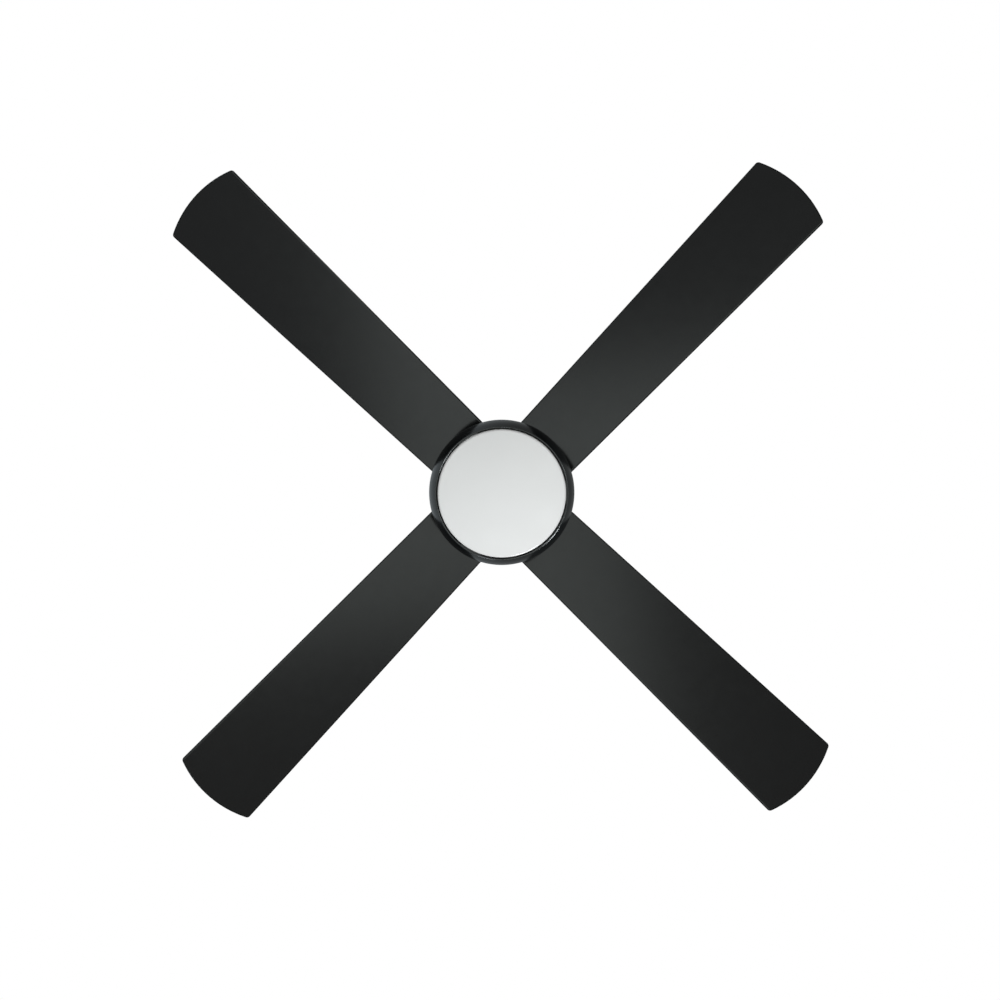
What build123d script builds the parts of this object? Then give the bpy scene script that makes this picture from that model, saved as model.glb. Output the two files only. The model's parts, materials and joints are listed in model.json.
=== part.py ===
from build123d import *
from math import atan2, degrees, sqrt
import os

# A four-blade ceiling fan with a light, hung from a downrod. Millimetres and degrees, +Z up.
# The origin is the middle of the hanger plate's top face, where it meets the ceiling.

# Slack
FIT = 0.05              # radial slack of a screw, pin or race in its hole
GAP = 0.3               # between bodies that move past each other

# Blades: each lies along +X in its own frame, its pitch axis through the hub's axis
SWEEP_RADIUS = 660.0
BLADE_COUNT = 4
BLADE_FIRST = 45.0
BLADE_Z = -290.0
BLADE_PITCH = 12.9
BLADE_THICK = 6.0
BLADE_ROOT = 62.0       # where the blade starts, inside the hub
BLADE_HALF = 53.55      # half its width, if the straight edges ran on to the axis
BLADE_TAPER = 0.0274    # growth of that half width per millimetre outwards
BLADE_OFFSET = 2.4      # its centreline lies this far towards the low edge
TIP_ARC = 173.3         # radius of the rounded end
TIP_CORNER = 6.0
ROOT_CORNER = 12.0
BLADE_EDGE = 2.3        # rounding along the edges
BLADE_SCREWS = ((72.0, -26.0), (72.0, 26.0), (92.0, 0.0))
WASHER_THICK = 1.0

# Suspension
BALL_Z = -50.0
BALL_RADIUS = 22.0
BALL_TOP = 14.0         # the ball's flat ends, above and below its centre
BALL_BOTTOM = 18.0
LINER_THICK = 1.5
SOCKET_THICK = 2.5
RUN = 0.1               # slack between ball, liner and socket
PLATE = 2.0             # hanger steel
BRACKET_REACH = 67.5
BRACKET_HALF_WIDTH = 19.0
LEG_X = 30.0            # inner face of the cradle's legs
FOOT = 8.0              # width of the cradle's feet under the plate
EAR_BOTTOM = -20.0
GROUND_SCREW = (56.0, -12.0)
SEAT_MOUTH = 47.0       # the seat runs between these angles from straight down
SEAT_RIM = 66.0
SEAT_HOLE = 17.3
LUG_Y = -27.5           # face of the lug that stops the ball from turning
RECEIVER_LOW = -27.0
RECEIVER_TOP = -7.0
RECEIVER_SEAM = -17.0
SHELF = 1.5             # ledges on the legs that hold the receiver
SLOT_SPACING = 89.0     # ceiling screws
SLOT_LENGTH = 14.0
SLOT_WIDTH = 5.2
WIRE_HOLE = 11.0
PIN_RADIUS = 3.0
BALL_PIN_Z = BALL_Z + 4
ROD_RADIUS = 9.525
ROD_BORE = 7.5
ROD_TOP = BALL_Z + 12
ROD_LENGTH = 152.4
ROD_BOTTOM = ROD_TOP - ROD_LENGTH

# Canopy
CANOPY_RADIUS = 70.0
CANOPY_WALL = 1.2
CANOPY_TOP = -1.0
CANOPY_SHOULDER = -30.0
CANOPY_BOTTOM = -76.0
CANOPY_HOLE = 24.0
CANOPY_SCREW_Z = -12.0

# Yoke and the cover over it
YOKE_TOP = -162.0
YOKE_RADIUS = 15.5
YOKE_BOTTOM = -212.0
YOKE_FLANGE = 30.0
SET_SCREW_Z = -169.0
HOUSING_SCREWS = 24.0   # circle of the screws between housing and yoke
CLEVIS_Z = -179.0
HOUSING_TOP = -204.0
COVER_TOP = -151.5
COVER_RADIUS = 44.5

# Upper housing
HOUSING_RADIUS = 108.0
HOUSING_SHOULDER = -226.0
HOUSING_RIM = -271.0
HOUSING_WALL = 1.5
VENTS = 16
VENT_CIRCLE = 72.0
VENT_LENGTH = 22.0
VENT_WIDTH = 4.0

# Motor
SHAFT_RADIUS = 8.5
SHAFT_BORE = 5.5
SHAFT_TOP = -194.0
SHAFT_BOTTOM = -324.0
MOTOR_Z = -241.0        # middle of the motor
ROTOR_RADIUS = 80.0
ROTOR_HALF = 25.0       # half its height
LOBE_CIRCLE = 83.5      # screw lobes outside the shell
BEARING_OUTER = 20.0
BEARING_WIDTH = 12.0
BEARING_OFF = 17.0      # bearing middles above and below the motor's
BALL_CIRCLE = 14.25
BEARING_BALL = 3.35
STATOR_OUTER = 66.0
STATOR_INNER = 30.0
STATOR_HALF = 8.0
TEETH = 12
MAGNET_INNER = 67.0
MAGNET_OUTER = 71.5
FLUX_OUTER = 75.0
MAGNETS = 14

# Blade carrier and the band round it
CARRIER_TOP = MOTOR_Z - ROTOR_HALF
CARRIER_THICK = 4.0
CARRIER_RADIUS = 92.0
CARRIER_SCREWS = 46.0
PAD_THICK = 5.0
PAD_HALF = 40.0
PAD_START = 56.0
PAD_END = 100.0
BAND_OUTER = 103.5
BAND_WALL = 1.5
BAND_BOTTOM = -310.3
BAND_SCREW_CIRCLE = 88.0

# Light kit
LIGHT_PLATE_TOP = -310.5
LIGHT_PLATE = 1.5
LIGHT_TOP = LIGHT_PLATE_TOP - LIGHT_PLATE
LIGHT_RADIUS = 112.0
LIGHT_WIDEST = -334.0
LIGHT_BOTTOM = -381.6
LIGHT_MOUTH = 99.7
LIP_ROUND = 1.4
LIGHT_FLANGE = 1.5
FLANGE_INNER = 74.0
FLANGE_SCREWS = 85.0
DIFFUSER_RADIUS = 98.0
DIFFUSER_RIM = -379.6
DIFFUSER_TOP = -368.0
DIFFUSER_LOW = -391.0
DIFFUSER_WALL = 2.4
LEDGE_TOP = -374.0
HEATSINK_TOP = -350.5
STANDOFF_CIRCLE = 66.0
DRIVER_FRONT = 22.0
DRIVER_SCREWS = ((-47.0, 40.0), (47.0, 40.0))
WIRE_RADIUS = 0.9
WIRE_TURN = -332.0
LED_RINGS = ((20.0, 6), (40.0, 12), (56.0, 18), (78.0, 24))


# ---- helpers ---------------------------------------------------------------------------------

def tube(outer, inner, low, high):
    """A ring about the Z axis, or a disc where inner is 0."""
    ring = Circle(outer) if inner == 0 else Circle(outer) - Circle(inner)
    return Pos(0, 0, low) * extrude(ring, high - low)


def turned(*points):
    """A closed outline of (radius, height) points turned about the Z axis."""
    return turned_face(Polyline(*points, close=True))


def turned_face(outline):
    return revolve(Plane.XZ * make_face(outline), Axis.Z)


def sector(inner, outer, low, high, half_angle):
    """A piece of a ring, centred on the +X direction."""
    middle = Pos((inner + outer) / 2, (low + high) / 2)
    section = Plane.XZ * middle * Rectangle(outer - inner, high - low)
    return Rot(0, 0, -half_angle) * revolve(section, Axis.Z, 2 * half_angle)


def spherical_band(inner, outer, low, high):
    """A band of a hollow ball about the hanger ball's centre, between two angles from straight down."""
    centre = (0, BALL_Z)
    inside = CenterArc(centre, inner, low - 90, high - low)
    outside = CenterArc(centre, outer, low - 90, high - low)
    ends = Line(inside @ 0, outside @ 0) + Line(inside @ 1, outside @ 1)
    return turned_face(inside + outside + ends)


def block(x, y, z):
    """A box between two values on each axis."""
    middle = [(a + b) / 2 for a, b in (x, y, z)]
    return Pos(*middle) * Box(x[1] - x[0], y[1] - y[0], z[1] - z[0])


def around(piece, count, first=0.0):
    return [Rot(0, 0, first + 360 * i / count) * piece for i in range(count)]


def peg(radius, length):
    """A plain rod standing on the XY plane."""
    return Cylinder(radius, length, align=(Align.CENTER, Align.CENTER, Align.MIN))


def screw(radius, length):
    """A pan-head screw pointing down, the underside of its head on the XY plane."""
    head_radius = 1.9 * radius
    head_height = 1.25 * radius
    head = peg(head_radius, head_height)
    head = fillet(head.faces().sort_by(Axis.Z)[-1].edges(), 0.55 * head_height)
    slot = Pos(0, 0, head_height) * Box(1.9 * radius, 0.36 * radius, 1.2 * radius)
    return head + Pos(0, 0, -length) * peg(radius, length) - slot - Rot(0, 0, 90) * slot


def screw_up(radius, length):
    """The same screw pointing up."""
    return Rot(180, 0, 0) * screw(radius, length)


def save(name, *pieces):
    solids = [solid for piece in pieces for solid in piece.solids()]
    export_step(Compound(solids), f"parts/{name}.step")


# ---- suspension ------------------------------------------------------------------------------

def hanger_plate():
    """Ceiling plate with the screw slots, the wire hole and an ear down each end for the canopy."""
    half = BRACKET_HALF_WIDTH
    plate = block((-BRACKET_REACH, BRACKET_REACH), (-half, half), (-PLATE, 0))
    plate &= tube(CANOPY_RADIUS - CANOPY_WALL - 0.6, 0, -PLATE, 0)
    for side in (0, 180):
        ear = block((BRACKET_REACH - PLATE, BRACKET_REACH), (-10, 10), (EAR_BOTTOM, 0))
        ear -= Pos(0, 0, CANOPY_SCREW_Z) * Rot(0, 90, 0) * peg(2 + FIT, 80)
        plate += Rot(0, 0, side) * ear
    slot = extrude(SlotOverall(SLOT_LENGTH, SLOT_WIDTH), PLATE, both=True)
    for side in (-1, 1):
        plate -= Pos(side * SLOT_SPACING / 2, 0, -PLATE / 2) * slot
    plate -= tube(WIRE_HOLE, 0, -PLATE, 0)
    return plate - Pos(*GROUND_SCREW, -PLATE) * peg(2 + FIT, PLATE)


def hanger_cradle():
    """Strap welded under the plate: two legs that carry an open-sided spherical seat for the ball."""
    liner_outer = BALL_RADIUS + RUN + LINER_THICK
    seat_inner = liner_outer + RUN
    low, high = BALL_Z - 16, BALL_Z - 16 + PLATE
    half = BRACKET_HALF_WIDTH
    cradle = block((-LEG_X, LEG_X), (-half, half), (low, high))
    for side in (0, 180):
        leg = block((LEG_X, LEG_X + PLATE), (-half, half), (low, -PLATE))
        foot = block((LEG_X - FOOT, LEG_X), (-half, half), (-2 * PLATE, -PLATE))
        shelf = block((LEG_X - 5, LEG_X), (-8, 8), (RECEIVER_LOW - SHELF, RECEIVER_LOW))
        cradle += Rot(0, 0, side) * (leg + foot + shelf)
    cradle += block((-7, 7), (LUG_Y - PLATE, -half), (low, high))
    cradle += block((-7, 7), (LUG_Y - PLATE, LUG_Y), (low, BALL_Z + 4))
    seat = spherical_band(seat_inner, seat_inner + SOCKET_THICK, SEAT_MOUTH, SEAT_RIM)
    cradle = cradle - Pos(0, 0, BALL_Z) * Sphere(seat_inner) + seat
    cradle -= tube(SEAT_HOLE, 0, low - 5, BALL_Z)
    cradle -= block((-12, 12), (0, half + 1), (low - 5, BALL_Z - 8))
    return cradle + Pos(0, LUG_Y - 0.5, BALL_Z) * Rot(-90, 0, 0) * peg(2, 9)


def hanger_ball():
    """Ball cut flat above and below, with the rod's bore, the pin's groove and the lug's groove."""
    high, low = BALL_Z + BALL_TOP, BALL_Z - BALL_BOTTOM
    ball = Pos(0, 0, BALL_Z) * Sphere(BALL_RADIUS)
    ball &= tube(30, 0, low, high)
    ball -= tube(ROD_RADIUS + FIT, 0, low, high)
    pin_slack = PIN_RADIUS + FIT
    ball -= block((-15.4, 15.4), (-pin_slack, pin_slack), (BALL_PIN_Z, high))
    ball -= Pos(-15.4, 0, BALL_PIN_Z) * Rot(0, 90, 0) * peg(pin_slack, 30.8)
    ball -= block((-4, 4), (-24, -16.5), (low, high))
    return ball - Pos(0, 0, BALL_Z + 8) * Rot(-90, 0, 0) * peg(2.5, 30)


def receiver():
    """Radio receiver's case on the cradle's shelves, with a seam round its middle."""
    box = block((-26, 26), (-48, 48), (RECEIVER_LOW, RECEIVER_TOP))
    box = fillet(box.edges().filter_by(Axis.Z), 4)
    seam = (RECEIVER_SEAM - 0.4, RECEIVER_SEAM + 0.4)
    return box - (block((-27, 27), (-49, 49), seam) - block((-25.4, 25.4), (-47.4, 47.4), seam))


def canopy():
    """Spun bowl against the ceiling, with a hole that lets the rod swing."""
    depth = CANOPY_SHOULDER - CANOPY_BOTTOM
    centre = (CANOPY_HOLE + 2, CANOPY_SHOULDER)
    reach = CANOPY_RADIUS - centre[0]
    wall = CANOPY_WALL
    outside = EllipticalCenterArc(centre, reach, depth, 270, arc_size=90)
    inside = EllipticalCenterArc(centre, reach - wall, depth - wall, 270, arc_size=90)
    rim = Polyline(outside @ 1, (CANOPY_RADIUS, CANOPY_TOP), (CANOPY_RADIUS - wall, CANOPY_TOP), inside @ 1)
    hole = Polyline(outside @ 0, (CANOPY_HOLE, CANOPY_BOTTOM), (CANOPY_HOLE, CANOPY_BOTTOM + wall), inside @ 0)
    bowl = turned_face(outside + inside + rim + hole)
    for side in (0, 180):
        bowl -= Rot(0, 0, side) * Pos(50, 0, CANOPY_SCREW_Z) * Rot(0, 90, 0) * peg(2 + FIT, 30)
    return bowl


def canopy_screws():
    one = Pos(CANOPY_RADIUS, 0, CANOPY_SCREW_Z) * Rot(0, 90, 0) * screw(2, 7)
    return around(one, 2)


def downrod():
    rod = tube(ROD_RADIUS, ROD_BORE, ROD_BOTTOM, ROD_TOP)
    for height in (BALL_PIN_Z, CLEVIS_Z):
        rod -= Pos(-20, 0, height) * Rot(0, 90, 0) * peg(PIN_RADIUS + FIT, 40)
    return rod


def yoke():
    """Collar that joins the rod to the motor's shaft and carries the upper housing on its flange."""
    flange = HOUSING_TOP - HOUSING_WALL
    body = tube(YOKE_RADIUS, 0, YOKE_BOTTOM, YOKE_TOP)
    body += tube(YOKE_FLANGE, 0, flange - 4, flange)
    body -= tube(ROD_RADIUS + FIT, 0, ROD_BOTTOM, YOKE_TOP)
    body -= tube(6.5, 0, SHAFT_TOP, ROD_BOTTOM)
    body -= tube(SHAFT_RADIUS + FIT, 0, YOKE_BOTTOM, SHAFT_TOP)
    body -= Pos(-20, 0, CLEVIS_Z) * Rot(0, 90, 0) * peg(PIN_RADIUS + FIT, 40)
    body -= Pos(0, -20, SET_SCREW_Z) * Rot(-90, 0, 0) * peg(2.5 + FIT, 40)
    for hole in around(Pos(HOUSING_SCREWS, 0, flange - 5) * peg(2 + FIT, 6), 4, 45):
        body -= hole
    return body


def clevis_pin():
    pin = Pos(-18, 0, CLEVIS_Z) * Rot(0, 90, 0) * peg(PIN_RADIUS, 38)
    pin += Pos(-20, 0, CLEVIS_Z) * Rot(0, 90, 0) * peg(4.5, 2)
    return pin - Pos(17.5, 0, CLEVIS_Z - 5) * peg(0.9, 10)


def cotter_pin():
    """Hairpin clip: one leg through the clevis pin, the other hooked round its end."""
    leg = 17.5
    ends = ((leg, 0, CLEVIS_Z + 7), (leg, 0, CLEVIS_Z - 9))
    hook = ((leg + 5, 0, CLEVIS_Z - 9), (leg + 5, 0, CLEVIS_Z + 5))
    path = FilletPolyline(*ends, *hook, radius=2)
    return sweep(Plane(path @ 0, z_dir=path % 0) * Circle(0.8), path)


def yoke_set_screws():
    one = Pos(0, ROD_RADIUS, SET_SCREW_Z) * Rot(-90, 0, 0) * peg(2.5, 7.5)
    return around(one, 2)


def coupling_cover():
    """Bell that hides the yoke, resting on the upper housing and free to lift along the rod."""
    low = HOUSING_TOP + GAP
    wall = 1.2
    outside = Bezier((COVER_RADIUS, -200), (COVER_RADIUS, -172), (22, -182), (18.2, -153))
    inside = Bezier((COVER_RADIUS - wall, -200), (COVER_RADIUS - wall, -173), (20.8, -183), (17, -153.5))
    hole = ROD_RADIUS + GAP
    foot = Polyline(outside @ 0, (COVER_RADIUS, low), (COVER_RADIUS - wall, low), inside @ 0)
    shoulder = ThreePointArc(outside @ 1, (17.75, -151.95), (16.7, COVER_TOP))
    crown = Polyline(shoulder @ 1, (hole, COVER_TOP), (hole, COVER_TOP - 1.5), (16, COVER_TOP - 1.5), inside @ 1)
    return turned_face(outside + inside + foot + shoulder + crown)


def lead_wires():
    """Three wires from the rod's top, beside its pins, through the hollow shaft to the LED driver."""
    wires = []
    for x, y in ((-1.9, 4.0), (0, -4.2), (1.9, 4.0)):
        path = FilletPolyline((x, y, ROD_TOP + 1), (x, y, WIRE_TURN), (x, DRIVER_FRONT, WIRE_TURN), radius=7)
        wires.append(sweep(Plane(path @ 0, z_dir=path % 0) * Circle(WIRE_RADIUS), path))
    return wires


# ---- upper housing and motor -----------------------------------------------------------------

def upper_housing():
    """Drawn shell over the motor, with cooling slots round its top."""
    rise = HOUSING_TOP - HOUSING_SHOULDER
    centre = (48, HOUSING_SHOULDER)
    reach = HOUSING_RADIUS - centre[0]
    wall = HOUSING_WALL
    outside = EllipticalCenterArc(centre, reach, rise, 0, arc_size=90)
    inside = EllipticalCenterArc(centre, reach - wall, rise - wall, 0, arc_size=90)
    rim = Polyline(outside @ 0, (HOUSING_RADIUS, HOUSING_RIM), (HOUSING_RADIUS - wall, HOUSING_RIM), inside @ 0)
    hole = YOKE_RADIUS + 1.5
    top = Polyline(outside @ 1, (hole, HOUSING_TOP), (hole, HOUSING_TOP - wall), inside @ 1)
    shell = turned_face(outside + inside + rim + top)
    for hole in around(Pos(HOUSING_SCREWS, 0, HOUSING_TOP - 2) * peg(2 + FIT, 3), 4, 45):
        shell -= hole
    vent = Pos(VENT_CIRCLE, 0, HOUSING_TOP - 8) * extrude(SlotOverall(VENT_LENGTH, VENT_WIDTH), 8)
    for slot in around(vent, VENTS):
        shell -= slot
    return shell


def motor_shaft():
    return tube(SHAFT_RADIUS, SHAFT_BORE, SHAFT_BOTTOM, SHAFT_TOP)


def shaft_spacers():
    """Sleeves that hold the bearings' inner races, one up to the yoke, one down to the light plate."""
    upper_race = MOTOR_Z + BEARING_OFF + BEARING_WIDTH / 2
    lower_race = MOTOR_Z - BEARING_OFF - BEARING_WIDTH / 2
    bore = SHAFT_RADIUS + FIT
    return [tube(11.8, bore, upper_race, YOKE_BOTTOM), tube(11.8, bore, LIGHT_PLATE_TOP, lower_race)]


def race(outer, inner, middle):
    """One bearing race, with its ball groove."""
    half = BEARING_WIDTH / 2
    groove = Pos(0, 0, middle) * Torus(BALL_CIRCLE, BEARING_BALL + FIT)
    return tube(outer, inner, middle - half, middle + half) - groove


def bearing_balls(middle):
    return around(Pos(BALL_CIRCLE, 0, middle) * Sphere(BEARING_BALL), 8)


def stator_outline():
    """Ring with teeth that end in wider pole shoes."""
    tooth = Pos((STATOR_INNER + STATOR_OUTER) / 2 + 3, 0) * Rectangle(STATOR_OUTER - STATOR_INNER - 8, 10)
    outline = Circle(STATOR_INNER + 10)
    for piece in around(tooth, TEETH):
        outline += piece
    shoes = Circle(STATOR_OUTER) - Circle(STATOR_OUTER - 3.5)
    gap = Pos(STATOR_OUTER, 0) * Rectangle(12, 4)
    for piece in around(gap, TEETH, 180 / TEETH):
        shoes -= piece
    return outline + shoes - Circle(STATOR_INNER + FIT)


def stator_core():
    return Pos(0, 0, MOTOR_Z - STATOR_HALF) * extrude(stator_outline(), 2 * STATOR_HALF)


def stator_insulators():
    cap = extrude(stator_outline(), 1)
    return [Pos(0, 0, MOTOR_Z + STATOR_HALF) * cap, Pos(0, 0, MOTOR_Z - STATOR_HALF - 1) * cap]


def stator_windings():
    outer = fillet(block((43, 61), (-9, 9), (-14.5, 14.5)).edges().filter_by(Axis.X), 4)
    coil = outer - block((40, 65), (-5.1, 5.1), (-STATOR_HALF - 1.1, STATOR_HALF + 1.1))
    return around(Pos(0, 0, MOTOR_Z) * coil, TEETH)


def stator_hub():
    """Sleeve between the two inner races, with a pierced web out to the core."""
    half = BEARING_OFF - BEARING_WIDTH / 2
    hub = tube(12, SHAFT_RADIUS + FIT, MOTOR_Z - half, MOTOR_Z + half)
    hub += tube(STATOR_INNER, SHAFT_RADIUS + FIT, MOTOR_Z - 5, MOTOR_Z + 5)
    for hole in around(Pos(21, 0, MOTOR_Z - 6) * peg(4.5, 12), 6):
        hub -= hole
    return hub


def motor_board():
    """Ring circuit board over the windings, with its position sensors."""
    low = MOTOR_Z + 16.5
    board = tube(60, 28, low, low + 1.5)
    for sensor in around(block((60 - 6, 60 - 2), (-2.5, 2.5), (low - 1, low)), 3, 15):
        board += sensor
    return board


def rotor_shell():
    """Upper half of the motor's shell: a disc with the bearing's seat and half of the outer wall."""
    top = MOTOR_Z + ROTOR_HALF
    seat_top = MOTOR_Z + BEARING_OFF + BEARING_WIDTH / 2
    seat_low = seat_top - BEARING_WIDTH
    seat = BEARING_OUTER + FIT
    wall = FLUX_OUTER + FIT
    shell = turned(
        (17, top), (ROTOR_RADIUS - 5, top), (ROTOR_RADIUS, top - 5), (ROTOR_RADIUS, MOTOR_Z), (wall, MOTOR_Z),
        (wall, top - 6), (wall - 3, top - 3), (24, top - 3), (24, seat_low), (seat, seat_low),
        (seat, seat_top), (17, seat_top),
    )
    for lobe in around(Pos(LOBE_CIRCLE, 0, MOTOR_Z) * peg(5, 7), 6, 15):
        shell += lobe
    shell -= tube(wall, 0, MOTOR_Z, top - 8) - tube(wall - 4, 0, MOTOR_Z, top - 8)
    for hole in around(Pos(LOBE_CIRCLE, 0, MOTOR_Z - 1) * peg(1.75 + FIT, 10), 6, 15):
        shell -= hole
    for vent in around(Pos(52, 0, top - 4) * peg(6, 6), 8, 22.5):
        shell -= vent
    return shell


def rotor_lower_shell():
    shell = mirror(rotor_shell(), about=Plane.XY.offset(MOTOR_Z))
    for hole in around(Pos(CARRIER_SCREWS, 0, CARRIER_TOP - 1) * peg(2 + FIT, 5), 8):
        shell -= hole
    return shell


def rotor_screws():
    one = Pos(LOBE_CIRCLE, 0, MOTOR_Z + 7) * screw(1.75, 13)
    return around(one, 6, 15)


def magnets():
    half_angle = 180 / MAGNETS - 1.2
    one = sector(MAGNET_INNER, MAGNET_OUTER - FIT, MOTOR_Z - 11, MOTOR_Z + 11, half_angle)
    return around(one, MAGNETS)


# ---- blades, carrier and band ----------------------------------------------------------------

def blade_places():
    """Where the blades' own frames stand: turned round the hub, lowered and pitched."""
    tilt = Pos(0, 0, BLADE_Z) * Rot(-BLADE_PITCH, 0, 0)
    return [Rot(0, 0, BLADE_FIRST + 360 * i / BLADE_COUNT) * tilt for i in range(BLADE_COUNT)]


def blade_outline(extra=0.0):
    """Straight tapered edges closed by the tip's arc, grown sideways by extra."""
    half = BLADE_HALF + extra
    centre = SWEEP_RADIUS - TIP_ARC
    a = 1 + BLADE_TAPER**2
    b = 2 * (half * BLADE_TAPER - centre)
    c = centre**2 + half**2 - TIP_ARC**2
    tip_x = (-b + sqrt(b * b - 4 * a * c)) / (2 * a)
    tip_y = half + BLADE_TAPER * tip_x
    root_y = half + BLADE_TAPER * BLADE_ROOT
    sides = Polyline((tip_x, tip_y), (BLADE_ROOT, root_y), (BLADE_ROOT, -root_y), (tip_x, -tip_y))
    end = ThreePointArc((tip_x, -tip_y), (SWEEP_RADIUS, 0), (tip_x, tip_y))
    return Pos(0, BLADE_OFFSET) * make_face(sides + end)


def blade_screw_spots():
    return [(x, y + BLADE_OFFSET) for x, y in BLADE_SCREWS]


def blade():
    board = extrude(blade_outline(), BLADE_THICK / 2, both=True)
    corners = board.edges().filter_by(Axis.Z).sort_by(Axis.X)
    board = fillet(corners[-2:], TIP_CORNER)
    corners = board.edges().filter_by(Axis.Z).sort_by(Axis.X)
    board = fillet(corners[:2], ROOT_CORNER)
    faces = board.faces().filter_by(Axis.Z)
    board = fillet(faces[0].edges() + faces[-1].edges(), BLADE_EDGE)
    for x, y in blade_screw_spots():
        board -= Pos(x, y, -BLADE_THICK / 2) * peg(2.5 + FIT, BLADE_THICK)
    return board


def blade_screws():
    """Three screws a blade, from below through washer and blade into the carrier's pad."""
    head = -BLADE_THICK / 2 - WASHER_THICK
    length = WASHER_THICK + BLADE_THICK + PAD_THICK - 0.5
    spots = [Pos(x, y, head) for x, y in blade_screw_spots()]
    return [place * spot * screw_up(2.5, length) for place in blade_places() for spot in spots]


def blade_washers():
    low = -BLADE_THICK / 2 - WASHER_THICK
    washer = tube(6, 2.5 + FIT, low, low + WASHER_THICK)
    return [place * Pos(x, y, 0) * washer for place in blade_places() for x, y in blade_screw_spots()]


def carrier_pad():
    """Pitched seat for a blade, in the level frame: a wedge with two pockets open to the outside."""
    pitched = Pos(0, 0, BLADE_Z) * Rot(-BLADE_PITCH, 0, 0)
    face = BLADE_THICK / 2
    low_y, high_y = BLADE_OFFSET - PAD_HALF, BLADE_OFFSET + PAD_HALF
    underside = CARRIER_TOP - CARRIER_THICK
    above_blade = pitched * block((0, 150), (-80, 80), (face, 80))
    above_floor = pitched * block((PAD_START + 4, 150), (-80, 80), (face + PAD_THICK, 80))
    pad = above_blade & block((PAD_START, PAD_END), (low_y, high_y), (BLADE_Z - 30, CARRIER_TOP))
    pad &= tube(PAD_END, 0, BLADE_Z - 30, CARRIER_TOP)
    rib = 2
    for start, end in ((low_y + 2 * rib, BLADE_OFFSET - rib), (BLADE_OFFSET + rib, high_y - 2 * rib)):
        pad -= above_floor & block((PAD_START, 150), (start, end), (BLADE_Z - 30, underside))
    for x, y in blade_screw_spots():
        pad -= pitched * Pos(x, y, face) * peg(2.5 + FIT, PAD_THICK + 1)
    return pad


def blade_carrier():
    """Cast disc under the rotor with a pitched pad for each blade."""
    underside = CARRIER_TOP - CARRIER_THICK
    carrier = tube(CARRIER_RADIUS, 0, underside, CARRIER_TOP)
    for pad in around(carrier_pad(), BLADE_COUNT, BLADE_FIRST):
        carrier += pad
    carrier -= tube(17, 0, underside, CARRIER_TOP)
    for hole in around(Pos(CARRIER_SCREWS, 0, underside) * peg(2 + FIT, CARRIER_THICK), 8):
        carrier -= hole
    for hole in around(Pos(BAND_SCREW_CIRCLE, 0, underside) * peg(1.5 + FIT, CARRIER_THICK), BLADE_COUNT):
        carrier -= hole
    return carrier


def carrier_screws():
    one = Pos(CARRIER_SCREWS, 0, CARRIER_TOP - CARRIER_THICK) * screw_up(2, CARRIER_THICK + 2.5)
    return around(one, 8)


def blade_band():
    """Drum skin that turns with the blades, slotted for them and screwed under the carrier's edge."""
    top = CARRIER_TOP - CARRIER_THICK
    band = tube(BAND_OUTER, BAND_OUTER - BAND_WALL, BAND_BOTTOM, top)
    slot = extrude(blade_outline(0.8), BLADE_THICK / 2 + 0.8, both=True)
    for place in blade_places():
        band -= place * slot
    tab = sector(BAND_SCREW_CIRCLE - 4, BAND_OUTER - BAND_WALL / 2, top - 2, top, 8)
    tab -= Pos(BAND_SCREW_CIRCLE, 0, top - 2) * peg(1.5 + FIT, 2)
    for piece in around(tab, BLADE_COUNT):
        band += piece
    return band


def band_screws():
    one = Pos(BAND_SCREW_CIRCLE, 0, CARRIER_TOP - CARRIER_THICK - 2) * screw_up(1.5, 5.5)
    return around(one, BLADE_COUNT)


# ---- light kit -------------------------------------------------------------------------------

def light_plate():
    plate = tube(96, SHAFT_RADIUS + FIT, LIGHT_TOP, LIGHT_PLATE_TOP)
    holes = around(Pos(FLANGE_SCREWS, 0, LIGHT_TOP) * peg(2 + FIT, LIGHT_PLATE), 4, 45)
    holes += around(Pos(STANDOFF_CIRCLE, 0, LIGHT_TOP) * peg(2 + FIT, LIGHT_PLATE), 3, 30)
    holes += [Pos(x, y, LIGHT_TOP) * peg(1.5 + FIT, LIGHT_PLATE) for x, y in DRIVER_SCREWS]
    for hole in holes:
        plate -= hole
    return plate


def shaft_nut():
    nut = Pos(0, 0, LIGHT_TOP - 8) * extrude(RegularPolygon(14, 6), 8)
    return nut - tube(SHAFT_RADIUS + FIT, 0, LIGHT_TOP - 8, LIGHT_TOP)


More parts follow.
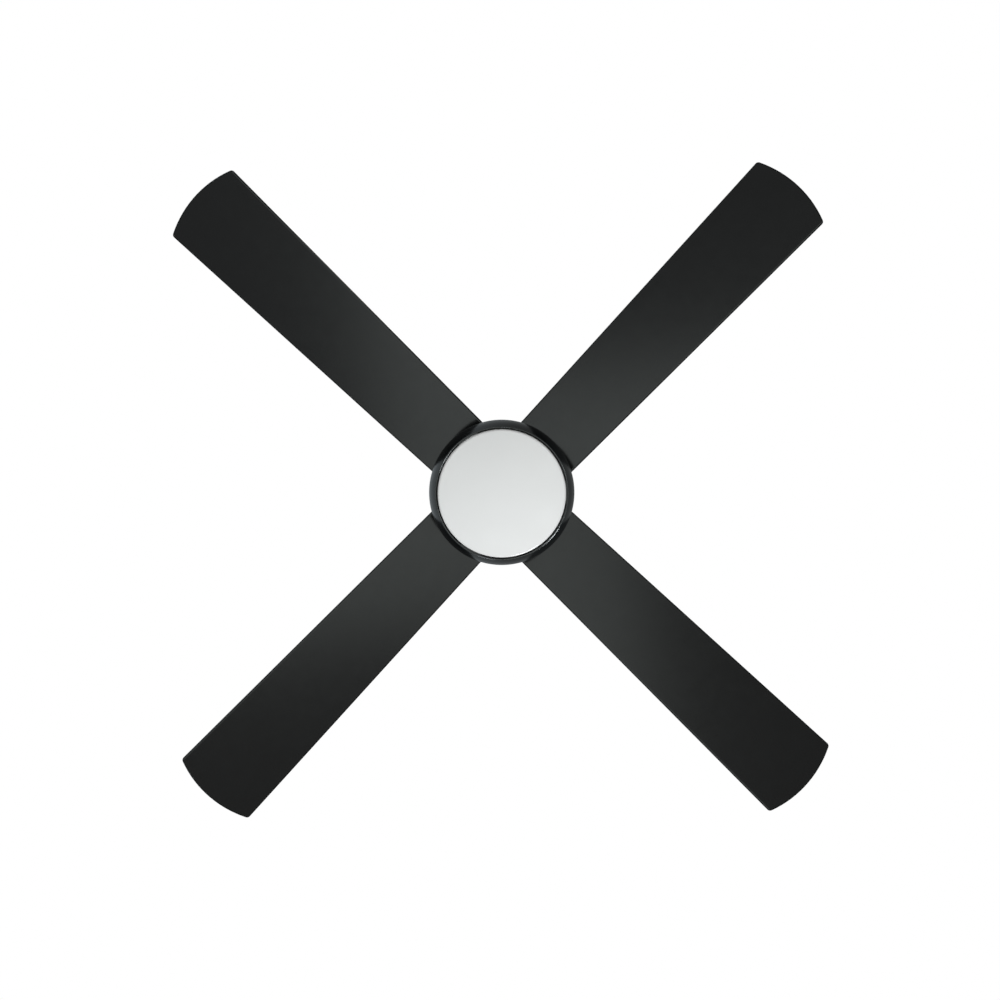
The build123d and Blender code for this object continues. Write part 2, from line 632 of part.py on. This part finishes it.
def light_housing():
    """The hub's lower bowl: closed above by a flange, its lip rounded in to the mouth."""
    top = LIGHT_TOP
    flange = top - LIGHT_FLANGE
    lip_at = (LIGHT_MOUTH + LIP_ROUND, LIGHT_BOTTOM + LIP_ROUND)
    across = LIGHT_RADIUS - lip_at[0]
    down = LIGHT_WIDEST - lip_at[1]
    bowl = (across ** 2 + down ** 2 - LIP_ROUND ** 2) / (2 * (across - LIP_ROUND))
    slant = degrees(atan2(down, bowl - across))
    side = CenterArc((LIGHT_RADIUS - bowl, LIGHT_WIDEST), bowl, 0, -slant)
    crown_end = (LIGHT_RADIUS - 7, top)
    crown = Spline(side @ 0, (LIGHT_RADIUS - 1.4, top - 6.5), crown_end, tangents=((0, 1), (-1, 0)))
    lip = CenterArc(lip_at, LIP_ROUND, -slant, slant - 180)
    mouth = Line(lip @ 1, (LIGHT_MOUTH, LEDGE_TOP - 2.5))
    inner_low = (LIGHT_MOUTH + 3.1, LEDGE_TOP)
    inner_high = (LIGHT_RADIUS - 2.4, LIGHT_WIDEST)
    slope = Line(mouth @ 1, inner_low)
    inside = ThreePointArc(inner_low, (LIGHT_RADIUS - 4.2, -355), inner_high)
    shoulder = Polyline(inner_high, (LIGHT_RADIUS - 4, top - 7), (LIGHT_RADIUS - 8.5, flange))
    rim = Polyline(shoulder @ 1, (FLANGE_INNER, flange), (FLANGE_INNER, top), crown_end)
    shell = turned_face(side + crown + lip + mouth + slope + inside + shoulder + rim)
    for ledge in around(sector(DIFFUSER_RADIUS + 0.4, LIGHT_MOUTH + 3.5, LEDGE_TOP - 2, LEDGE_TOP, 10), 3):
        shell += ledge
    for hole in around(Pos(FLANGE_SCREWS, 0, flange) * peg(2 + FIT, LIGHT_FLANGE), 4, 45):
        shell -= hole
    return shell


def light_housing_screws():
    return around(Pos(FLANGE_SCREWS, 0, LIGHT_TOP - LIGHT_FLANGE) * screw_up(2, 4), 4, 45)


def standoffs():
    """Hexagon pillars that carry the heat sink under the light plate."""
    pillar = Pos(0, 0, HEATSINK_TOP) * extrude(RegularPolygon(4.6, 6), LIGHT_TOP - HEATSINK_TOP)
    pillar -= Pos(0, 0, HEATSINK_TOP) * peg(1.5 + FIT, 8)
    pillar += Pos(0, 0, LIGHT_TOP) * peg(2, LIGHT_PLATE + 0.8)
    return around(Pos(STANDOFF_CIRCLE, 0, 0) * pillar, 3, 30)


def heat_sink():
    sink = tube(90, 0, HEATSINK_TOP - 1.5, HEATSINK_TOP)
    for hole in around(Pos(STANDOFF_CIRCLE, 0, HEATSINK_TOP - 2) * peg(1.5 + FIT, 3), 3, 30):
        sink -= hole
    return sink - Pos(0, 40, HEATSINK_TOP - 2) * peg(4, 3)


def led_board():
    low = HEATSINK_TOP - 2.7
    board = tube(86, 0, low, HEATSINK_TOP - 1.5)
    for hole in around(Pos(STANDOFF_CIRCLE, 0, low - 1) * peg(1.5 + FIT, 3), 3, 30):
        board -= hole
    return board


def led_chips():
    high = HEATSINK_TOP - 2.7
    chip = block((-1.5, 1.5), (-1.5, 1.5), (high - 0.8, high))
    chips = []
    for radius, count in LED_RINGS:
        chips += around(Pos(radius, 0, 0) * chip, count)
    return chips


def board_screws():
    one = Pos(STANDOFF_CIRCLE, 0, HEATSINK_TOP - 2.7) * screw_up(1.5, 9)
    return around(one, 3, 30)


def led_driver():
    box = block((-42, 42), (DRIVER_FRONT, 58), (LIGHT_TOP - 22, LIGHT_TOP))
    box = fillet(box.edges().filter_by(Axis.Z), 3)
    for x, y in DRIVER_SCREWS:
        ear = block((x - 5.5, x + 5.5), (y - 6, y + 6), (LIGHT_TOP - 1.5, LIGHT_TOP))
        box += ear - Pos(x, y, LIGHT_TOP - 2) * peg(1.5 + FIT, 3)
    return box


def driver_screws():
    return [Pos(x, y, LIGHT_TOP - 1.5) * screw_up(1.5, 4) for x, y in DRIVER_SCREWS]


def diffuser():
    """Shallow opal dish with an upright skirt and three bayonet lugs."""
    outer, inner = DIFFUSER_RADIUS, DIFFUSER_RADIUS - DIFFUSER_WALL
    edge = outer - 3
    low, rim, top = DIFFUSER_LOW, DIFFUSER_RIM, DIFFUSER_TOP
    floor = low + DIFFUSER_WALL
    dish = Bezier((0, low), (edge / 2, low), (edge, rim - 3))
    corner = Bezier(dish @ 1, (outer, rim - 2.5), (outer, rim))
    skirt = Polyline(corner @ 1, (outer, top), (inner, top), (inner, rim), (inner - 1, rim - 0.8))
    inside = Bezier(skirt @ 1, (edge / 2, floor), (0, floor))
    shell = turned_face(dish + corner + skirt + inside + Line(inside @ 1, dish @ 0))
    lug_low = LEDGE_TOP + GAP
    for lug in around(sector(outer - 1, outer + 3.2, lug_low, lug_low + 2.5, 8), 3):
        shell += lug
    return shell


# ---- everything, one file a node -------------------------------------------------------------

upper_bearing = MOTOR_Z + BEARING_OFF
lower_bearing = MOTOR_Z - BEARING_OFF
inner_race_wall = BALL_CIRCLE - 2.25
outer_race_wall = BALL_CIRCLE + 2.25

os.makedirs("parts", exist_ok=True)

save("hanger_plate", hanger_plate())
save("hanger_cradle", hanger_cradle())
save("ground_screw", Pos(*GROUND_SCREW, -PLATE) * screw_up(2, 1.8))
save("receiver", receiver())
save("canopy", canopy())
save("canopy_screws", *canopy_screws())
save("hanger_liner", spherical_band(BALL_RADIUS + RUN, BALL_RADIUS + RUN + LINER_THICK, 43, 67))
save("hanger_ball", hanger_ball())
save("ball_pin", Pos(-15, 0, BALL_PIN_Z) * Rot(0, 90, 0) * peg(PIN_RADIUS, 30))
save("ball_set_screw", Pos(0, ROD_RADIUS, BALL_Z + 8) * Rot(-90, 0, 0) * peg(2.5 - FIT, 9))
save("downrod", downrod())
save("yoke", yoke())
save("clevis_pin", clevis_pin())
save("cotter_pin", cotter_pin())
save("yoke_set_screws", *yoke_set_screws())
save("coupling_cover", coupling_cover())
save("lead_wires", *lead_wires())

save("upper_housing", upper_housing())
save("housing_screws", *around(Pos(HOUSING_SCREWS, 0, HOUSING_TOP) * screw(2, 5), 4, 45))
save("motor_shaft", motor_shaft())
save("shaft_spacers", *shaft_spacers())
save("upper_bearing_inner", race(inner_race_wall, SHAFT_RADIUS + FIT, upper_bearing))
save("upper_bearing_outer", race(BEARING_OUTER, outer_race_wall, upper_bearing))
save("upper_bearing_balls", *bearing_balls(upper_bearing))
save("lower_bearing_inner", race(inner_race_wall, SHAFT_RADIUS + FIT, lower_bearing))
save("lower_bearing_outer", race(BEARING_OUTER, outer_race_wall, lower_bearing))
save("lower_bearing_balls", *bearing_balls(lower_bearing))
save("stator_core", stator_core())
save("stator_insulators", *stator_insulators())
save("stator_windings", *stator_windings())
save("stator_hub", stator_hub())
save("motor_board", motor_board())
save("rotor_upper_shell", rotor_shell())
save("rotor_lower_shell", rotor_lower_shell())
save("rotor_screws", *rotor_screws())
save("flux_ring", tube(FLUX_OUTER, MAGNET_OUTER, MOTOR_Z - 12, MOTOR_Z + 12))
save("magnets", *magnets())

for number, place in enumerate(blade_places(), start=1):
    save(f"blade_{number}", place * blade())
save("blade_screws", *blade_screws())
save("blade_washers", *blade_washers())
save("blade_carrier", blade_carrier())
save("carrier_screws", *carrier_screws())
save("blade_band", blade_band())
save("band_screws", *band_screws())

save("light_plate", light_plate())
save("shaft_nut", shaft_nut())
save("light_housing", light_housing())
save("light_housing_screws", *light_housing_screws())
save("standoffs", *standoffs())
save("heat_sink", heat_sink())
save("led_board", led_board())
save("led_chips", *led_chips())
save("board_screws", *board_screws())
save("led_driver", led_driver())
save("driver_screws", *driver_screws())
save("diffuser", diffuser())
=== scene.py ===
import bpy
import json
from math import cos, pi, radians, sin
from mathutils import Matrix, Vector

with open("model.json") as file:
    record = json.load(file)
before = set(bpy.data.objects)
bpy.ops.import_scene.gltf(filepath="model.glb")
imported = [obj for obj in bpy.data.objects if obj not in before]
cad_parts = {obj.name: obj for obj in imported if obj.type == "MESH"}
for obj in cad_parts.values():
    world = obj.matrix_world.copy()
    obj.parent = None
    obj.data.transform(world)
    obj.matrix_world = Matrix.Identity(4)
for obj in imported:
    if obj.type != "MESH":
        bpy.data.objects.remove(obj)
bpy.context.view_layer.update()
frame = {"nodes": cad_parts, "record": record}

# Camera: nearly straight below the hub, on a long lens. Metres, with lens and sensor in millimetres
BLADE_PLANE = -0.290
CAMERA_AT = Vector((0.0014, -0.1558, -5.024))
CAMERA_AIM = Vector((-0.0030, 0.0133, BLADE_PLANE))
CAMERA_ROLL = radians(1.266)
CAMERA_LENS = 109.64
CAMERA_SENSOR = 36.0
CAMERA_REACH = 100.0

# Stage: a pale floor far below the fan, with a sun that lights nothing else
FLOOR_Z = -5.6
FLOOR_HALF = 60.0
FLOOR_GREY = (0.8, 0.8, 0.8)
FLOOR_WASH = 2.3
FLOOR_WASH_ANGLE = radians(50)

# Lamps that lie just above the floor and shine straight up: name, place, side, radiance, colour
WHITE = (1.0, 1.0, 1.0)
GREENISH = (0.93, 1.0, 0.97)
FLAT_LAMPS_Z = -5.45
FLAT_LAMPS = [
    ("softbox", (0.0, 0.22), 4.42, 1.52, GREENISH),
    ("fill", (0.0, 0.0), 10.0, 0.27, WHITE),
    ("fill_front", (0.8, 3.2), 3.4, 0.18, WHITE),
]

# Lamps aimed at the middle of the fan's light, each lighting one piece: name, azimuth in degrees
# from +X, slant in degrees from straight below, distance, size out and across, radiance, piece
LIGHT_AT = Vector((0, 0, -0.38))
SIDE_LAMP_COLOUR = (0.93, 1.0, 1.03)
SIDE_LAMPS = [
    ("spot_a", 33, 18.5, 5.0, (0.22, 0.65), 2.0, "diffuser"),
    ("spot_b", -15, 17.0, 5.0, (0.25, 0.3), 1.5, "diffuser"),
    ("spot_c", 102, 18.0, 5.0, (0.3, 0.3), 1.5, "diffuser"),
    ("key", 70, 62.0, 4.0, (1.6, 1.6), 14.0, "diffuser"),
    ("under", 0, 0.0, 4.5, (4.4, 4.4), 0.42, "diffuser"),
    ("rim_a", 33, 74.0, 4.0, (2.0, 0.9), 34.0, "light_housing"),
    ("rim_b", -15, 50.0, 4.0, (1.6, 0.5), 8.0, "light_housing"),
    ("rim_c", 105, 74.0, 4.0, (1.6, 0.7), 11.0, "light_housing"),
]

# World light: grey by height from straight down (-1) to straight up (1), times a tint by side
# from -X (-1) to +X (1)
WORLD_STRENGTH = 2.5
WORLD_BY_HEIGHT = [(-1.0, 0.05), (-0.02, 0.05), (0.0, 0.34), (0.45, 0.34), (0.66, 0.10),
                   (0.85, 0.115), (1.0, 0.16)]
BLUISH = (0.9, 1.0, 1.05)
DIM = (0.42, 0.44, 0.44)
WORLD_BY_SIDE = [(-1.0, BLUISH), (-0.4, BLUISH), (0.2, DIM), (1.0, DIM)]

# Surfaces: noise scales per metre, and how far noise has to go for the full change
NOISE_ENDS = (0.3, 0.7)
TONE_SCALE = 14.0
GLOSS_SCALE = 55.0
GRAIN_STRENGTH = 0.25
COAT_ROUGHNESS = 0.08


# ---- node helpers ----------------------------------------------------------------------------

def new_material(name):
    material = bpy.data.materials.new(name)
    material.use_nodes = True
    return material, material.node_tree.nodes["Principled BSDF"], material.node_tree


def rgba(value):
    """A colour socket's value from a grey number or a colour."""
    return (*value, 1) if isinstance(value, tuple) else (value, value, value, 1)


def noise(tree, scale, detail=4.0):
    """Noise in the object's own metres, so it rides with the piece at every pose."""
    place = tree.nodes.new("ShaderNodeTexCoord")
    texture = tree.nodes.new("ShaderNodeTexNoise")
    texture.inputs["Scale"].default_value = scale
    texture.inputs["Detail"].default_value = detail
    tree.links.new(place.outputs["Object"], texture.inputs["Vector"])
    return texture.outputs["Fac"]


def between(tree, factor, low, high):
    """A number or colour that runs from low to high as noise goes from one end to the other."""
    node = tree.nodes.new("ShaderNodeValToRGB")
    for element, position, value in zip(node.color_ramp.elements, NOISE_ENDS, (low, high)):
        element.position = position
        element.color = rgba(value)
    tree.links.new(factor, node.inputs["Fac"])
    return node.outputs["Color"]


def bump(tree, shader, height, distance):
    node = tree.nodes.new("ShaderNodeBump")
    node.inputs["Strength"].default_value = GRAIN_STRENGTH
    node.inputs["Distance"].default_value = distance
    tree.links.new(height, node.inputs["Height"])
    tree.links.new(node.outputs["Normal"], shader.inputs["Normal"])


def coated(name, colour, rough, spread, grain=900.0, depth=0.00002, metallic=0.0, specular=0.5,
           coat=0.0, tone=0.1):
    """Paint, moulded plastic or metal: slightly uneven colour and gloss over a fine grain."""
    material, shader, tree = new_material(name)
    darker = tuple(c * (1 - tone) for c in colour)
    lighter = tuple(min(1.0, c * (1 + tone)) for c in colour)
    uneven = between(tree, noise(tree, TONE_SCALE), darker, lighter)
    gloss = between(tree, noise(tree, GLOSS_SCALE), rough - spread, rough + spread)
    tree.links.new(uneven, shader.inputs["Base Color"])
    tree.links.new(gloss, shader.inputs["Roughness"])
    bump(tree, shader, noise(tree, grain, 2.0), depth)
    shader.inputs["Metallic"].default_value = metallic
    shader.inputs["Specular IOR Level"].default_value = specular
    shader.inputs["Coat Weight"].default_value = coat
    shader.inputs["Coat Roughness"].default_value = COAT_ROUGHNESS
    return material


# ---- materials -------------------------------------------------------------------------------

MATERIALS = {
    "blade_black": coated("blade_black", (0.0045, 0.0048, 0.0047), 0.14, 0.01, specular=0.4),
    "painted_black": coated("painted_black", (0.010, 0.011, 0.0115), 0.3, 0.03, coat=0.2),
    "gloss_black": coated("gloss_black", (0.0040, 0.0046, 0.0048), 0.22, 0.02, specular=0.7),
    "band_black": coated("band_black", (0.010, 0.011, 0.011), 0.42, 0.03),
    "opal": coated("opal", (0.80, 0.765, 0.755), 0.16, 0.01, depth=0.000005, tone=0.01),
    "zinc_steel": coated("zinc_steel", (0.55, 0.56, 0.57), 0.35, 0.06, metallic=1.0),
    "dark_steel": coated("dark_steel", (0.25, 0.25, 0.26), 0.35, 0.06, metallic=1.0),
    "bearing_steel": coated("bearing_steel", (0.66, 0.67, 0.68), 0.12, 0.02, metallic=1.0),
    "cast_aluminium": coated("cast_aluminium", (0.56, 0.57, 0.58), 0.45, 0.08, 400.0, 0.0001,
                             metallic=1.0),
    "lamination": coated("lamination", (0.28, 0.29, 0.31), 0.4, 0.05, metallic=1.0),
    "copper": coated("copper", (0.62, 0.24, 0.10), 0.3, 0.05, metallic=1.0),
    "magnet": coated("magnet", (0.05, 0.05, 0.055), 0.5, 0.05, metallic=0.4),
    "nylon": coated("nylon", (0.72, 0.70, 0.62), 0.5, 0.05),
    "white_plastic": coated("white_plastic", (0.78, 0.78, 0.77), 0.4, 0.04),
    "board_green": coated("board_green", (0.02, 0.16, 0.06), 0.25, 0.03),
    "board_white": coated("board_white", (0.82, 0.83, 0.82), 0.3, 0.03),
    "phosphor": coated("phosphor", (0.85, 0.66, 0.12), 0.35, 0.03),
    "rubber_black": coated("rubber_black", (0.02, 0.02, 0.02), 0.7, 0.06),
    "wire_sleeve": coated("wire_sleeve", (0.35, 0.35, 0.36), 0.4, 0.04),
    "ground_green": coated("ground_green", (0.02, 0.25, 0.07), 0.3, 0.03),
}

for part in frame["record"]["subparts"]:
    node = frame["nodes"][part["node"]]
    node.data.materials.clear()
    node.data.materials.append(MATERIALS[part["material_slot"]])


# ---- stage, light and camera -----------------------------------------------------------------

def only_lights(lamp, piece):
    """The lamp shines on this piece and no other."""
    group = bpy.data.collections.new(lamp.name)
    group.objects.link(piece)
    lamp.light_linking.receiver_collection = group


def make_floor():
    """Seen by the camera only: the fan neither mirrors the floor nor takes light from it."""
    h = FLOOR_HALF
    corners = [(x, y, FLOOR_Z) for x, y in ((-h, -h), (h, -h), (h, h), (-h, h))]
    mesh = bpy.data.meshes.new("floor")
    mesh.from_pydata(corners, [], [(0, 1, 2, 3)])
    paint = coated("floor", FLOOR_GREY, 0.9, 0.02, grain=30.0, specular=0.0, tone=0.01)
    mesh.materials.append(paint)
    floor = bpy.data.objects.new("floor", mesh)
    bpy.context.scene.collection.objects.link(floor)
    floor.visible_diffuse = False
    floor.visible_glossy = False
    wash = bpy.data.objects.new("floor_wash", bpy.data.lights.new("floor_wash", "SUN"))
    wash.data.energy = FLOOR_WASH
    wash.data.angle = FLOOR_WASH_ANGLE
    bpy.context.scene.collection.objects.link(wash)
    only_lights(wash, floor)


def ramp(tree, factor, stops):
    """Colours at rising positions from -1 to 1, blended between them."""
    spread = tree.nodes.new("ShaderNodeMapRange")
    spread.inputs["From Min"].default_value = -1.0
    tree.links.new(factor, spread.inputs["Value"])
    node = tree.nodes.new("ShaderNodeValToRGB")
    elements = node.color_ramp.elements
    while len(elements) < len(stops):
        elements.new(0.5)
    for element, (position, colour) in zip(elements, stops):
        element.position = (position + 1) / 2
        element.color = rgba(colour)
    tree.links.new(spread.outputs["Result"], node.inputs["Fac"])
    return node.outputs["Color"]


def make_world():
    """White to the camera. To the fan, bright above the horizon and dim overhead and below."""
    world = bpy.data.worlds.new("world")
    bpy.context.scene.world = world
    world.use_nodes = True
    tree = world.node_tree
    nodes, links = tree.nodes, tree.links
    seen, lit = nodes["Background"], nodes.new("ShaderNodeBackground")
    seen.inputs["Color"].default_value = (1, 1, 1, 1)
    place, split = nodes.new("ShaderNodeTexCoord"), nodes.new("ShaderNodeSeparateXYZ")
    links.new(place.outputs["Generated"], split.inputs["Vector"])
    mix = nodes.new("ShaderNodeMix")
    mix.data_type = "RGBA"
    mix.blend_type = "MULTIPLY"
    mix.inputs["Factor"].default_value = 1.0
    first, second = (socket for socket in mix.inputs if socket.type == "RGBA")
    result, = (socket for socket in mix.outputs if socket.type == "RGBA")
    links.new(ramp(tree, split.outputs["Z"], WORLD_BY_HEIGHT), first)
    links.new(ramp(tree, split.outputs["X"], WORLD_BY_SIDE), second)
    links.new(result, lit.inputs["Color"])
    lit.inputs["Strength"].default_value = WORLD_STRENGTH
    path, choose = nodes.new("ShaderNodeLightPath"), nodes.new("ShaderNodeMixShader")
    links.new(path.outputs["Is Camera Ray"], choose.inputs["Fac"])
    links.new(lit.outputs["Background"], choose.inputs[1])
    links.new(seen.outputs["Background"], choose.inputs[2])
    links.new(choose.outputs["Shader"], nodes["World Output"].inputs["Surface"])


def area_light(name, at, sides, radiance, colour):
    """A lamp that shines straight up, hidden from the camera, its energy set by its radiance."""
    light = bpy.data.lights.new(name, "AREA")
    light.shape = "RECTANGLE"
    light.size, light.size_y = sides
    light.energy = radiance * sides[0] * sides[1] * pi
    light.color = colour
    lamp = bpy.data.objects.new(name, light)
    lamp.location = at
    lamp.rotation_euler = (pi, 0, 0)
    lamp.visible_camera = False
    bpy.context.scene.collection.objects.link(lamp)
    return lamp


def side_lamp(name, azimuth, slant, distance, sides, radiance, piece):
    """A lamp aimed at LIGHT_AT, below the fan and off to the side, that shines on one piece."""
    turn, tilt = radians(azimuth), radians(slant)
    away = Vector((sin(tilt) * cos(turn), sin(tilt) * sin(turn), -cos(tilt)))
    lamp = area_light(name, LIGHT_AT + distance * away, sides, radiance, SIDE_LAMP_COLOUR)
    only_lights(lamp, frame["nodes"][piece])
    across = Vector((-sin(turn), cos(turn), 0))
    axes = Matrix((across.cross(away), across, away)).transposed()
    lamp.matrix_world = Matrix.Translation(lamp.location) @ axes.to_4x4()


def make_camera():
    camera = bpy.data.cameras.new("camera")
    camera.lens = CAMERA_LENS
    camera.sensor_width = CAMERA_SENSOR
    camera.clip_end = CAMERA_REACH
    holder = bpy.data.objects.new("camera", camera)
    forward = (CAMERA_AIM - CAMERA_AT).normalized()
    level = (Vector((0, -1, 0)) + forward.y * forward).normalized()
    roll = Matrix.Rotation(-CAMERA_ROLL, 3, -forward)
    up = roll @ level
    side = roll @ forward.cross(level)
    axes = Matrix((side, up, -forward)).transposed()
    holder.matrix_world = Matrix.Translation(CAMERA_AT) @ axes.to_4x4()
    bpy.context.scene.collection.objects.link(holder)
    bpy.context.scene.camera = holder


make_floor()
make_world()
for name, place, side, radiance, colour in FLAT_LAMPS:
    area_light(name, (*place, FLAT_LAMPS_Z), (side, side), radiance, colour)
for lamp in SIDE_LAMPS:
    side_lamp(*lamp)
make_camera()
bpy.context.scene.view_settings.view_transform = "Standard"
